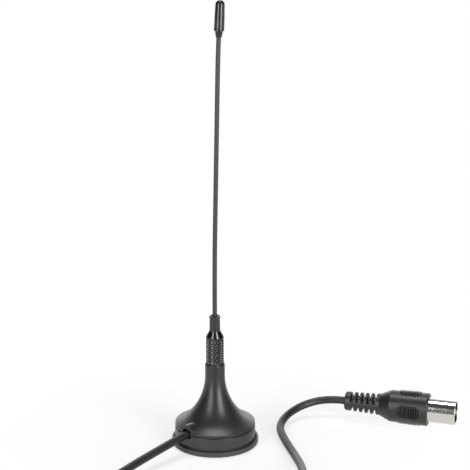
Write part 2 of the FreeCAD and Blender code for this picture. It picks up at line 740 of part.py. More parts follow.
spine = turn(plug_boot, "Revolution", [
    ("relief_core / 2 - fit", "tail_round"),
    ("tail_diameter / 2", "tail_round"),
    ("relief_diameter / 2", "relief_length"),
    ("relief_core / 2 - fit", "relief_length"),
], "spine", "spine_angle")
repeat(plug_boot, spine, 2, "spines")


def ribbed_outline(first, last):
    """The section of a run of ribs, counted from the pad's rear end."""
    foot = f"{boot_front} - pad_inset - rib_count * rib_pitch"
    slope = "pad_taper / 2 / (rib_count * rib_pitch)"
    root = "pad_diameter / 2 - pad_root"
    corners = [(root, f"{foot} + {last + 1} * rib_pitch"), (root, f"{foot} + {first} * rib_pitch")]
    for rib in range(first, last + 1):
        crest = f"pad_diameter / 2 - pad_taper / 2 + ({slope}) * ({rib} + 0.5) * rib_pitch"
        valley = "boot_rear_diameter / 2"
        start = f"{foot} + {rib} * rib_pitch"
        side = "(rib_pitch - rib_crest) / 2"
        corners.append((valley, start))
        corners.append((crest, f"{start} + {side}"))
        corners.append((crest, f"{start} + {side} + rib_crest"))
    corners.append((valley, f"{foot} + {last + 1} * rib_pitch"))
    return corners


last_rib = int(size("rib_count")) - 1
pad = turn(plug_boot, "Revolution", ribbed_outline(1, last_rib - 1), "pad", "pad_angle")
repeat(plug_boot, pad, 4, "pads")
for name, rib in (("rear", 0), ("front", last_rib)):
    end_rib = turn(plug_boot, "Revolution", ribbed_outline(rib, rib), f"{name}_rib", "pad_corner_angle")
    repeat(plug_boot, end_rib, 4, f"{name}_ribs")

for piece in (plug_sleeve, plug_clamp, plug_insulator, plug_pin, plug_boot):
    piece.Placement = plug_place

# The lead's two free stretches, from the base to the coil and from the coil to the plug
low_level = size(low_turn)
high_level = size(high_turn)
coil_reach = size(turn_radius)
coil_in = coil_centre + FreeCAD.Vector(-size("coil_stub"), -coil_reach, low_level)
coil_out = coil_centre + FreeCAD.Vector(coil_reach, size("coil_stub"), high_level)
cable_points = [
    cable_start,
    on_exit(size(f"{cable_end} + cable_first_run")),
    FreeCAD.Vector(-25.9, -28.3, 4.75),
    FreeCAD.Vector(-37.6, -42.3, 2.5),
    FreeCAD.Vector(-44.7, -56.3, 1.6),
    FreeCAD.Vector(-46.0, -71.8, 1.56),
    FreeCAD.Vector(-41.0, -86.4, 1.58),
    FreeCAD.Vector(-30.3, -97.4, 1.7),
    coil_in - FreeCAD.Vector(size("coil_run_in"), 0, 0),
    coil_in,
]
antenna_cable = tube("antenna_cable", cable_points, free_radii(cable_points), "cable_diameter")
lead_points = [
    coil_out,
    coil_out + FreeCAD.Vector(0, size("coil_run_out"), 0),
    FreeCAD.Vector(31.1, -44.6, 7.6),
    FreeCAD.Vector(30.9, -30.6, 3.9),
    FreeCAD.Vector(29.2, -16.6, 1.75),
    FreeCAD.Vector(26.2, -3.2, 1.6),
    FreeCAD.Vector(24.2, 8.6, 1.9),
    FreeCAD.Vector(27.4, 17.8, 3.2),
    FreeCAD.Vector(34.6, 24.3, 5.1),
    plug_tail - plug_way * 7.4 - vertical * size("fit"),
    plug_tail + plug_way * 6.2,
    plug_tail + plug_way * size(lead_end),
]
plug_lead = tube("plug_lead", lead_points, free_radii(lead_points), "cable_diameter")

doc.recompute()
pieces = [
    foot_pad, base_band, base_bell, magnet, pole_plate, neck_stud, whip_collar, whip_rod, tip_cap,
    cable_crimp, core_tail, braid_tail, antenna_cable, cable_coil, coil_tie, plug_lead,
    plug_boot, plug_sleeve, plug_clamp, plug_insulator, plug_pin,
]
for item in doc.Objects:
    if "Invalid" in item.State or "Error" in item.State:
        raise RuntimeError(f"{item.Label} failed: {item.State}")
for piece in pieces:
    if piece.Shape.isNull() or not piece.Shape.isValid() or len(piece.Shape.Solids) != 1:
        raise RuntimeError(f"{piece.Label} is not one valid solid")
os.makedirs("parts", exist_ok=True)
for piece in pieces:
    piece.Shape.exportStep(f"parts/{piece.Label}.step")
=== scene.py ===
import math

import bmesh
import bpy
from bpy.props import FloatProperty, FloatVectorProperty, IntProperty, PointerProperty
from mathutils import Matrix, Vector


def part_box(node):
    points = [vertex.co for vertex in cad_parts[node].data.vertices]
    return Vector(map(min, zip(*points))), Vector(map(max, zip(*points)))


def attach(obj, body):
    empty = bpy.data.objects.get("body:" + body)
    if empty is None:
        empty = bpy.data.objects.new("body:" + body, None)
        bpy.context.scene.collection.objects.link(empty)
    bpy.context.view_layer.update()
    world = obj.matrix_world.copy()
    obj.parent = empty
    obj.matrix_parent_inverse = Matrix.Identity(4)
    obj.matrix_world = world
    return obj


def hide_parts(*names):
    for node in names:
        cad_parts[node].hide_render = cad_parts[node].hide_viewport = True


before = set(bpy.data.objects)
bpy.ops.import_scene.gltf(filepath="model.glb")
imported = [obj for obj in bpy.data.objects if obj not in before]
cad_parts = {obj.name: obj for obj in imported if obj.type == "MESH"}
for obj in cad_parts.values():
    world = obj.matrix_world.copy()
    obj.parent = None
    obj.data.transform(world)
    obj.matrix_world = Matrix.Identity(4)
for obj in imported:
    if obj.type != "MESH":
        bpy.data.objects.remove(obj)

bl_info = {
    "name": "Whip antenna looks",
    "version": (1, 0, 0),
    "blender": (4, 5, 0),
    "location": "View3D > Sidebar > Antenna",
    "description": "Dresses a whip antenna with its lead, its finishes and a small white studio",
    "category": "Object",
}

MM = 0.001
BODY = "root"
UP = Vector((0, 0, 1))

# Places that the lead and the plug share with the CAD model, in millimetres and radians
EXIT_TURN = math.radians(42)
EXIT_WAY = Vector((-math.sin(EXIT_TURN), -math.cos(EXIT_TURN), 0))
EXIT_REACH = 15.8
EXIT_HEIGHT = 7.5
EXIT_FALL = 0.12
COIL_CENTRE = Vector((10, -83, 0))
COIL_LEVEL = 2.0
PLUG_TURN = math.radians(17)
PLUG_WAY = Vector((math.cos(PLUG_TURN), -math.sin(PLUG_TURN), 0))
PLUG_TAIL = Vector((51, 24, 6.75))


def linear(code):
    """The linear colour of an sRGB hex value."""
    shares = [int(code[i:i + 2], 16) / 255 for i in (1, 3, 5)]
    return [share / 12.92 if share <= 0.04045 else ((share + 0.055) / 1.055) ** 2.4 for share in shares]


def colour(name, description, code):
    """A colour setting whose default is an sRGB hex value."""
    return FloatVectorProperty(name=name, description=description, default=linear(code), subtype="COLOR",
                               min=0.0, max=1.0)


def length(name, description, millimetres):
    """A length setting whose default is given in millimetres."""
    return FloatProperty(name=name, description=description, default=millimetres * MM, unit="LENGTH",
                         min=0.0, precision=5)


def angle(name, description, degrees):
    """An angle setting whose default is given in degrees."""
    return FloatProperty(name=name, description=description, default=math.radians(degrees), subtype="ANGLE")


def power(name, description, watts):
    """The power setting of a softbox."""
    return FloatProperty(name=name, description=description, default=watts, unit="POWER")


class LeadSettings(bpy.types.PropertyGroup):
    """Sizes and colours of the lead and its strap"""
    diameter: length("Diameter", "Diameter of the lead's jacket", 3.0)
    total: length("Length", "Length of the lead from the base to the plug", 1500.0)
    turn_outer: length("Outer turn", "Radius of the coil's outermost turn", 20.8)
    turn_inner: length("Inner turn", "Radius of the coil's innermost turn", 12.4)
    layer_turns: FloatProperty(name="Turns in a layer", default=2.6, min=1.0,
                               description="Turns wound flat before the lead steps up")
    layers: IntProperty(name="Layers", description="Layers of turns in the coil", default=4, min=1)
    step_turns: FloatProperty(name="Turns in a step", default=0.85 / 3, min=0.05,
                              description="Part of a turn that climbs to the next layer")
    turn_points: IntProperty(name="Points in a turn", default=16, min=12,
                             description="Control points in one turn of the coil")
    jacket: colour("Jacket", "Colour of the lead's jacket", "#131314")
    strap: colour("Strap", "Colour of the coil's strap", "#1c1c1e")


class BaseSettings(bpy.types.PropertyGroup):
    """Sizes and colours of the base"""
    bell: colour("Bell", "Colour of the moulded bell", "#1e1e1f")
    band: colour("Band", "Colour of the band under the bell", "#282829")
    foot: colour("Foot", "Colour of the soft foot", "#363637")
    rim_height: length("Rim height", "Height of the upright lip under the bell's sharp rim", 0.9)
    rim_slope: angle("Rim slope", "Slope of the bell's skirt where it ends at the rim", 26)


class MastSettings(bpy.types.PropertyGroup):
    """Sizes and colours of the collar, the whip and its cap"""
    knurl_teeth: IntProperty(name="Knurl teeth", default=24, min=8,
                             description="Teeth of the knurl round the collar")
    knurl_depth: length("Knurl depth", "Depth of the knurl's grooves", 0.32)
    knurl_angle: angle("Knurl angle", "Angle of the knurl's grooves from the collar's axis", 24)
    collar: colour("Collar", "Colour of the plated collar", "#48484a")
    wire: colour("Wire", "Colour of the whip's coating", "#2c2c2e")
    cap: colour("Cap", "Colour of the tip's cap", "#0f0f10")


class PlugSettings(bpy.types.PropertyGroup):
    """Colours of the plug"""
    boot: colour("Boot", "Colour of the moulded boot", "#171718")
    nickel: colour("Nickel", "Colour of the plated contacts", "#cfccc6")
    insulator: colour("Insulator", "Colour of the insulating disc", "#d9d8d2")


class StageSettings(bpy.types.PropertyGroup):
    """The camera's place and the strength of each light"""
    lens: FloatProperty(name="Lens", description="Focal length of the camera", default=109.01,
                        unit="CAMERA")
    camera_x: length("Camera side", "Camera's place to the right of the antenna", 7.47)
    camera_back: length("Camera distance", "Camera's place in front of the antenna", 500.0)
    camera_height: length("Camera height", "Camera's height over the floor", 214.3)
    camera_dip: angle("Camera dip", "How far the camera looks down", 14.975)
    left_light: power("Left light", "Power of the softbox left of the camera", 4.6)
    right_light: power("Right light", "Power of the softbox right of the camera", 7.0)
    top_light: power("Top light", "Power of the softbox overhead", 1.5)
    back_light: power("Back light", "Power of the wide softbox behind", 1.8)
    ambient: FloatProperty(name="Ambient", description="Strength of the studio's even light",
                           default=0.16, min=0.0)


def add_node(tree, kind, values=(), links=(), **settings):
    """Adds a node. Settings are its own fields, values go on its sockets, links join sockets to outputs."""
    made = tree.nodes.new(kind)
    for field, value in settings.items():
        setattr(made, field, value)
    for socket, value in dict(values).items():
        made.inputs[socket].default_value = value
    for socket, source in dict(links).items():
        tree.links.new(source, made.inputs[socket])
    return made


def new_finish(name, base, **sockets):
    """A material with the values that are the same all over its surface."""
    material = bpy.data.materials.new(name)
    material.use_nodes = True
    tree = material.node_tree
    surface = tree.nodes["Principled BSDF"]
    surface.inputs["Base Color"].default_value = (*base, 1.0)
    for socket, value in sockets.items():
        surface.inputs[socket.replace("_", " ")].default_value = value
    return material, tree, surface


def grain(tree, surface, grain_mm, height_mm, roughness, stretch=(1, 1, 1), turn=0.0):
    """A bump and a roughness between two values, both from one noise whose grains have a real size."""
    noise_low = 0.3
    noise_high = 0.7
    place = add_node(tree, "ShaderNodeTexCoord")
    lay = add_node(tree, "ShaderNodeMapping", {"Rotation": (0, 0, turn), "Scale": stretch},
                   {"Vector": place.outputs["Object"]})
    noise = add_node(tree, "ShaderNodeTexNoise",
                     {"Scale": 1 / (grain_mm * MM), "Detail": 3.0, "Roughness": 0.55},
                     {"Vector": lay.outputs["Vector"]})
    shine = add_node(tree, "ShaderNodeMapRange",
                     {"From Min": noise_low, "From Max": noise_high,
                      "To Min": roughness[0], "To Max": roughness[1]},
                     {"Value": noise.outputs["Fac"]})
    bump = add_node(tree, "ShaderNodeBump", {"Distance": height_mm * MM, "Strength": 1.0},
                    {"Height": noise.outputs["Fac"]})
    tree.links.new(shine.outputs["Result"], surface.inputs["Roughness"])
    tree.links.new(bump.outputs["Normal"], surface.inputs["Normal"])


def satin_abs(name, base):
    """ABS moulded in a spark-eroded tool: an even, fine grain that spreads each light into a soft band."""
    material, tree, surface = new_finish(name, base, IOR=1.54)
    # The real grit is about 0.05 mm. It is drawn at 0.3 mm, so that it shows from close by.
    grain(tree, surface, grain_mm=0.3, height_mm=0.003, roughness=(0.34, 0.4))
    return material


def soft_pvc(name, base):
    """Plasticised PVC: greyer and duller than the hard mouldings, with a faint bloom on it."""
    material, tree, surface = new_finish(name, base, IOR=1.53)
    grain(tree, surface, grain_mm=0.5, height_mm=0.01, roughness=(0.48, 0.6))
    return material


def black_nickel(name, base):
    """Black nickel plate on turned brass: a dark metal, sharp and bright where a facet meets a light."""
    material, tree, surface = new_finish(name, base, Metallic=1.0)
    # Turning marks run round the collar, so the grain is squeezed along its axis.
    grain(tree, surface, grain_mm=0.6, height_mm=0.003, roughness=(0.16, 0.24), stretch=(1, 1, 6))
    return material


def coated_wire(name, base):
    """Steel wire with a baked black coat: satin, with slight streaks along the drawn wire."""
    material, tree, surface = new_finish(name, base, IOR=1.5)
    grain(tree, surface, grain_mm=0.5, height_mm=0.004, roughness=(0.38, 0.48), stretch=(1, 1, 0.1))
    return material


def glossy_pvc(name, base):
    """PVC dipped cap: a wet black gloss with a slight waviness."""
    material, tree, surface = new_finish(name, base, IOR=1.53)
    grain(tree, surface, grain_mm=1.2, height_mm=0.006, roughness=(0.14, 0.2))
    return material


def jacket_pvc(name, base):
    """Extruded PVC cable jacket: satin black, with a low ripple from the die."""
    material, tree, surface = new_finish(name, base, IOR=1.53)
    grain(tree, surface, grain_mm=0.7, height_mm=0.012, roughness=(0.4, 0.5))
    return material


def overmould_pvc(name, base):
    """PVC moulded over the plug: satin black with a fine orange peel."""
    material, tree, surface = new_finish(name, base, IOR=1.53)
    grain(tree, surface, grain_mm=0.35, height_mm=0.012, roughness=(0.36, 0.46))
    return material


def nickel_plate(name, base, turn):
    """Bright nickel on drawn brass tube: a mirror slightly blurred by lines along the tube."""
    material, tree, surface = new_finish(name, base, Metallic=1.0)
    # The real lines are finer than 0.1 mm. They are drawn at 0.25 mm, so that they show from close by.
    grain(tree, surface, grain_mm=0.25, height_mm=0.0004, roughness=(0.1, 0.17), stretch=(0.04, 1, 1),
          turn=turn)
    return material


def hook_tape(name, base):
    """Nylon hook-and-loop tape: a dull pile with specks of light."""
    material, tree, surface = new_finish(name, base, IOR=1.53, Sheen_Weight=0.4, Sheen_Roughness=0.5)
    grain(tree, surface, grain_mm=0.35, height_mm=0.08, roughness=(0.75, 0.95))
    return material


def plain_grain(name, base, metallic, roughness, grain_mm):
    """The finishes that the closed housings hide: ferrite, zinc plate, brass, copper and polythene."""
    material, tree, surface = new_finish(name, base, Metallic=metallic)
    grain(tree, surface, grain_mm, height_mm=0.006, roughness=roughness)
    return material


def paper_with_painted_glow(name):
    """Matt white paper with a white glow painted on, nearly white to the eye and in reflections; the painted
    glow is weaker near the antenna's axis, so a painted grey shade and a part of the antenna's shadow stay
    there.
    """
    shadow_reach = 15 * MM
    painted_glow_reach = 100 * MM
    least_painted_glow = 0.6
    material = bpy.data.materials.new(name)
    material.use_nodes = True
    tree = material.node_tree
    tree.nodes.clear()
    seen = add_node(tree, "ShaderNodeLightPath")
    eye = add_node(tree, "ShaderNodeMath", operation="MAXIMUM",
                   links={0: seen.outputs["Is Camera Ray"], 1: seen.outputs["Is Glossy Ray"]})
    bright = add_node(tree, "ShaderNodeMath", operation="MAXIMUM",
                      links={0: eye.outputs[0], 1: seen.outputs["Is Transmission Ray"]})
    place = add_node(tree, "ShaderNodeTexCoord")
    reach = add_node(tree, "ShaderNodeVectorMath", operation="LENGTH",
                     links={0: place.outputs["Object"]})
    # Painted light: the white glow's share grows from the antenna's axis outwards. This paints the floor a
    # little greyer near the antenna and fades its shadow out further away.
    sweep = add_node(tree, "ShaderNodeMapRange",
                     {"From Min": shadow_reach, "From Max": painted_glow_reach,
                      "To Min": least_painted_glow, "To Max": 1.0},
                     {"Value": reach.outputs["Value"]}, interpolation_type="SMOOTHSTEP")
    share = add_node(tree, "ShaderNodeMath", operation="MULTIPLY",
                     links={0: bright.outputs[0], 1: sweep.outputs[0]})
    paper = add_node(tree, "ShaderNodeBsdfDiffuse", {"Color": (*linear("#f4f4f4"), 1.0)})
    white = add_node(tree, "ShaderNodeEmission", {"Strength": 1.0})
    mix = add_node(tree, "ShaderNodeMixShader",
                   links={0: share.outputs[0], 1: paper.outputs[0], 2: white.outputs[0]})
    add_node(tree, "ShaderNodeOutputMaterial", links={"Surface": mix.outputs[0]})
    return material


def dress_node(name, material):
    """Gives a CAD node its finish."""
    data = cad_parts[name].data
    data.materials.clear()
    data.materials.append(material)


def outline(corners, step):
    """Points of a closed outline: a corner is (radius, height, rounding), and long runs are divided."""
    bend_steps = 4
    spots = [Vector(corner[:2]) for corner in corners]
    bends = []
    for index, corner in enumerate(corners):
        spot = spots[index]
        back = (spots[index - 1] - spot).normalized()
        onward = (spots[(index + 1) % len(spots)] - spot).normalized()
        bend = [spot]
        if len(corner) > 2:
            rounding = corner[2]
            half = back.angle(onward) / 2
            reach = rounding / math.tan(half)
            hub = spot + (back + onward).normalized() * (rounding / math.sin(half))
            start = spot + back * reach - hub
            sweep = start.angle_signed(spot + onward * reach - hub)
            bend = [hub + Matrix.Rotation(-sweep * count / bend_steps, 2) @ start
                    for count in range(bend_steps + 1)]
        bends.append(bend)
    row = []
    for bend, after in zip(bends, bends[1:] + bends[:1]):
        row += bend
        gap = after[0] - bend[-1]
        parts = max(1, math.ceil(gap.length / step))
        row += [bend[-1] + gap * count / parts for count in range(1, parts)]
    return row


def turned(name, corners, step, sides, place, relief):
    """Revolves an outline, in millimetres. relief(turn, radius, height) gives each point its own radius."""
    mesh = bmesh.new()
    rings = []
    for spot in outline(corners, step):
        ring = []
        for side in range(sides):
            turn = 2 * math.pi * side / sides
            radius = relief(turn, spot.x, spot.y)
            point = Vector((radius * math.cos(turn), radius * math.sin(turn), spot.y))
            ring.append(mesh.verts.new(place @ (point * MM)))
        rings.append(ring)
    for ring, other in zip(rings, rings[1:] + rings[:1]):
        bridge(mesh, ring, other)
    bmesh.ops.recalc_face_normals(mesh, faces=mesh.faces)
    return new_piece(name, mesh)


def bridge(mesh, ring, other):
    """Joins two closed rings of points with quads."""
    for side in range(len(ring)):
        after = (side + 1) % len(ring)
        mesh.faces.new((ring[side], ring[after], other[after], other[side]))


def new_piece(name, mesh, crease=40):
    """Turns a bmesh into an object that rides on the antenna, shaded smooth below a crease in degrees."""
    data = bpy.data.meshes.new(name)
    mesh.to_mesh(data)
    mesh.free()
    data.shade_smooth()
    data.set_sharp_from_angle(angle=math.radians(crease))
    piece = bpy.data.objects.new(name, data)
    bpy.context.scene.collection.objects.link(piece)
    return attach(piece, BODY)


def on_exit(reach):
    """A point of the lead's line through its exit, at a distance from the antenna's axis."""
    return EXIT_WAY * reach + UP * (EXIT_HEIGHT - EXIT_FALL * (reach - EXIT_REACH))


def plug_place():
    """The plug's own frame: its height runs from the boot's tail to the mouth, its side to the front."""
    axes = Matrix((PLUG_WAY.cross(UP), UP, PLUG_WAY)).transposed().to_4x4()
    return Matrix.Translation(PLUG_TAIL * MM) @ axes


def coil_top(lead):
    """Height of the lead's middle in the coil's top layer, in millimetres."""
    return COIL_LEVEL + (lead.layers - 1) * lead.diameter / MM


def coil_turns(lead):
    """Control points of the coil: layers wound inwards and outwards by turns, each on top of the last."""
    pitch = lead.layer_turns + lead.step_turns
    whole = lead.layers * pitch - lead.step_turns
    # The curve runs inside its control points, so they stand further out.
    bulge = 1 / math.cos(math.pi / lead.turn_points)
    points = []
    for index in range(1, round(whole * lead.turn_points)):
        turns = index / lead.turn_points
        layer = int(turns // pitch)
        share = min((turns - layer * pitch) / lead.layer_turns, 1.0)
        climb = max(turns - layer * pitch - lead.layer_turns, 0.0) / lead.step_turns
        if layer % 2:
            share = 1.0 - share
        radius = (lead.turn_outer + (lead.turn_inner - lead.turn_outer) * share) * bulge
        turn = 2 * math.pi * turns - math.pi / 2
        level = COIL_LEVEL * MM + (layer + climb) * lead.diameter
        points.append(COIL_CENTRE * MM + Vector((radius * math.cos(turn), radius * math.sin(turn), level)))
    return points


class ANTENNA_OT_lead(bpy.types.Operator):
    """Lays the lead from the base through its coil to the plug, and straps the coil"""
    bl_idname = "antenna.lead"
    bl_label = "Lead and strap"

    def execute(self, context):
        lead = context.scene.antenna_lead
        route = self.route(lead)
        data = bpy.data.curves.new("lead", "CURVE")
        data.dimensions = "3D"
        data.resolution_u = 6
        data.bevel_depth = lead.diameter / 2
        data.bevel_resolution = 4
        data.use_fill_caps = True
        spline = data.splines.new("NURBS")
        spline.points.add(len(route) - 1)
        for point, place in zip(spline.points, route):
            point.co = (*place, 1.0)
        spline.order_u = 3
        spline.use_endpoint_u = True
        cable = bpy.data.objects.new("lead", data)
        context.scene.collection.objects.link(cable)
        data.materials.append(jacket_pvc("extruded_pvc_jacket", lead.jacket))
        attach(cable, BODY)
        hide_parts("antenna_cable", "cable_coil", "plug_lead")
        strap = self.strap(lead)
        return {"FINISHED"}

    def route(self, lead):
        """Control points of the lead: from the exit, through the coil, and along the floor to the plug."""
        turn = lead.turn_outer / MM
        coil_in = COIL_CENTRE + Vector((-12, -turn, COIL_LEVEL))
        coil_out = COIL_CENTRE + Vector((turn, 12, coil_top(lead)))
        first = [
            on_exit(6.0),
            on_exit(21.4),
            Vector((-25.9, -28.3, 4.75)),
            Vector((-37.6, -42.3, 2.5)),
            Vector((-44.7, -56.3, 1.6)),
            Vector((-46.0, -71.8, 1.56)),
            Vector((-41.0, -86.4, 1.58)),
            Vector((-30.3, -97.4, 1.7)),
            coil_in - Vector((14.2, 0, 0)),
            coil_in,
        ]
        last = [
            coil_out,
            coil_out + Vector((0, 12.6, 0)),
            Vector((31.1, -44.6, 7.6)),
            Vector((30.9, -30.6, 3.9)),
            Vector((29.2, -16.6, 1.75)),
            Vector((26.2, -3.2, 1.6)),
            Vector((24.2, 8.6, 1.9)),
            Vector((27.4, 17.8, 3.2)),
            Vector((34.6, 24.3, 5.1)),
            PLUG_TAIL - PLUG_WAY * 7.4 - UP * 0.05,
            PLUG_TAIL + PLUG_WAY * 6.2,
            PLUG_TAIL + PLUG_WAY * 21.0,
        ]
        return [point * MM for point in first] + coil_turns(lead) + [point * MM for point in last]

    def strap(self, lead):
        """A tape round the coil's section that laps over itself, with its end on the coil's outside."""
        thick = 0.5
        width = 4.0
        place_turn = math.radians(135)
        start_turn = math.radians(60)
        lap = 1.22
        lap_start = 0.9
        lap_rise = 8
        squareness = 5
        stations = 72
        floor_gap = 0.02
        # Half widths and thicknesses of the tape's section, as shares, with its outer edges taken off
        section = ((-1, 0.0), (-1, 0.6), (-0.9, 1.0), (0.9, 1.0), (1, 0.6), (1, 0.0))
        jacket = lead.diameter / MM / 2
        low = Vector((lead.turn_inner / MM - jacket, COIL_LEVEL - jacket))
        high = Vector((lead.turn_outer / MM + jacket, coil_top(lead) + jacket))
        centre = (low + high) / 2
        half = (high - low) / 2
        radial = Vector((math.cos(place_turn), math.sin(place_turn), 0))
        across = UP.cross(radial)
        mesh = bmesh.new()
        rings = []
        for index in range(int(stations * lap) + 1):
            turn = 2 * math.pi * index / stations + start_turn
            way = Vector((math.cos(turn), math.sin(turn)))
            # A superellipse hugs the square stack of turns with soft corners.
            spread = abs(way.x / half.x) ** squareness + abs(way.y / half.y) ** squareness
            reach = spread ** (-1 / squareness)
            over = thick * min(max(index / stations - lap_start, 0.0) * lap_rise, 1.0)
            ring = []
            for side, out in section:
                spot = centre + way * (reach + over + thick * out)
                level = max(spot.y, floor_gap)
                point = COIL_CENTRE + radial * spot.x + across * (side * width / 2) + UP * level
                ring.append(mesh.verts.new(point * MM))
            rings.append(ring)
        for ring, other in zip(rings, rings[1:]):
            bridge(mesh, ring, other)
        mesh.faces.new(rings[0])
        mesh.faces.new(rings[-1][::-1])
        bmesh.ops.recalc_face_normals(mesh, faces=mesh.faces)
        piece = new_piece("coil_strap", mesh)
        piece.data.materials.append(hook_tape("nylon_hook_tape", lead.strap))
        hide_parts("coil_tie")
        return piece


class ANTENNA_OT_base(bpy.types.Operator):
    """Draws the bell's sharp rim, and finishes the bell, its band and the foot"""
    bl_idname = "antenna.base"
    bl_label = "Base"

    def execute(self, context):
        base = context.scene.antenna_base
        bell = self.bell_cover(base)
        bell.data.materials.append(satin_abs("moulded_abs_satin_black", base.bell))
        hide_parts("base_bell")
        dress_node("base_band", satin_abs("moulded_abs_band_black", base.band))
        dress_node("foot_pad", soft_pvc("soft_pvc_foot_black", base.foot))
        return {"FINISHED"}

    def bell_cover(self, base):
        """The solid's bell with its skirt drawn down to a sharp rim, in place of a round shoulder."""
        # The solid's outline, in millimetres from its axis and from the rim's level
        rim_radius = 15.0
        lip = 0.4
        shoulder = 2.7
        skirt_radius = 10.8
        skirt_out = 16.355
        skirt_level = 13.277
        skirt_start = 7.3
        skirt_end = 13.11
        rim_wall = 0.5
        exit_half = 2.3
        # The least wall under the drawn skirt, and how near the outline a point counts as on it
        wall = 0.12
        near = 0.06
        rim_crease = 30

        def solid_height(reach):
            """The solid's outline over the rim's level: a hollow skirt, then the shoulder."""
            if reach < skirt_end:
                return skirt_level - math.sqrt(skirt_radius ** 2 - (skirt_out - reach) ** 2)
            inward = min(reach - rim_radius + shoulder, shoulder)
            return lip + math.sqrt(shoulder ** 2 - inward ** 2)

        top = solid_height(skirt_start)
        span = rim_radius - skirt_start
        steep = span * (skirt_start - skirt_out) / (skirt_level - top)
        flat = -span * math.tan(base.rim_slope)
        rim_height = base.rim_height / MM

        def drawn_height(reach):
            """One hollow curve from the flank to the rim, with the slope of each at its ends."""
            share = min((reach - skirt_start) / span, 1.0)
            ease = share * share * (3 - 2 * share)
            sag = share * (1 - share) * (steep * (1 - share) - flat * share)
            return top + (rim_height - top) * ease + sag

        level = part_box("base_bell")[0].z / MM
        across = EXIT_WAY.cross(UP)
        mesh = bmesh.new()
        mesh.from_mesh(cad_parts["base_bell"].data)
        for vert in mesh.verts:
            reach = math.hypot(vert.co.x, vert.co.y) / MM
            if not skirt_start < reach < rim_radius + near:
                continue
            height = vert.co.z / MM - level
            rise = height - solid_height(reach)
            if abs(rise) < near:
                vert.co.z = (level + drawn_height(reach)) * MM
            elif rise < 0 and reach < rim_radius - rim_wall:
                # The hollow inside stays under the lowered skirt, except for the exit's own hole.
                in_exit = vert.co.dot(EXIT_WAY) > 0 and abs(vert.co.dot(across)) / MM < exit_half
                if not in_exit:
                    vert.co.z = (level + min(height, drawn_height(reach) - wall)) * MM
        return new_piece("bell_cover", mesh, rim_crease)


class ANTENNA_OT_mast(bpy.types.Operator):
    """Makes the knurled collar, and finishes the whip and its cap"""
    bl_idname = "antenna.mast"
    bl_label = "Collar, whip and cap"

    def execute(self, context):
        mast = context.scene.antenna_mast
        collar = self.knurled_collar(mast)
        collar.data.materials.append(black_nickel("black_nickel_plate", mast.collar))
        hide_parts("whip_collar")
        dress_node("whip_rod", coated_wire("black_coated_wire", mast.wire))
        dress_node("tip_cap", glossy_pvc("dipped_pvc_gloss_black", mast.cap))
        return {"FINISHED"}

    def knurled_collar(self, mast):
        """The collar from its foot up: a lip, a knurled barrel, a cone and a ferrule with a beaded mouth."""
        stud_radius = 1.55
        stud_top = 8.0
        lip_radius = 3.5
        knurl_radius = 3.3
        knurl_top = 10.7
        bead_radius = 2.125
        wire_radius = 0.9
        wire_foot = 13.8
        vent_radius = 0.3
        corners = [
            (stud_radius, 0.0),
            (lip_radius, 0.0, 0.03),
            (lip_radius, 0.1, 0.03),
            (knurl_radius, 1.0, 0.3),
            (knurl_radius, knurl_top, 0.12),
            (2.025, 13.0, 0.15),
            (1.95, 17.75, 0.2),
            (bead_radius, 18.15, 0.12),
            (bead_radius, 18.45, 0.12),
            (1.97, 18.7, 0.1),
            (1.8, 18.65, 0.08),
            (1.05, 18.3),
            (wire_radius, 17.8),
            (wire_radius, wire_foot),
            (vent_radius, wire_foot),
            (vent_radius, stud_top),
            (stud_radius, stud_top),
        ]
        # Where the grooves run out at the barrel's ends, and over what length
        groove_foot = 0.15
        foot_fade = 0.3
        groove_top = knurl_top - 0.35
        top_fade = 0.4
        # The second set of grooves is shallower, and the pyramids have flat tops.
        shallow = 0.2
        flat_top = 0.8
        near = 0.01
        outline_step = 0.14
        tooth_sides = 10
        pitch = 2 * math.pi * knurl_radius / mast.knurl_teeth
        climb = pitch / math.tan(mast.knurl_angle)

        def knurl(turn, radius, height):
            """Pyramids between two sets of crossing grooves, which run out at both ends of the barrel."""
            if radius < knurl_radius - near:
                return radius
            teeth = turn / (2 * math.pi) * mast.knurl_teeth
            right = abs((teeth + height / climb) % 1.0 - 0.5) * 2
            left = shallow + (1 - shallow) * abs((teeth - height / climb) % 1.0 - 0.5) * 2
            above_foot = max((height - groove_foot) / foot_fade, 0.0)
            under_top = max((groove_top - height) / top_fade, 0.0)
            fade = min(under_top, above_foot, 1.0)
            return radius - mast.knurl_depth / MM * fade * (1 - min(right, left, flat_top) / flat_top)

        place = Matrix.Translation((0, 0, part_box("whip_collar")[0].z))
        return turned("knurled_collar", corners, outline_step, mast.knurl_teeth * tooth_sides, place, knurl)


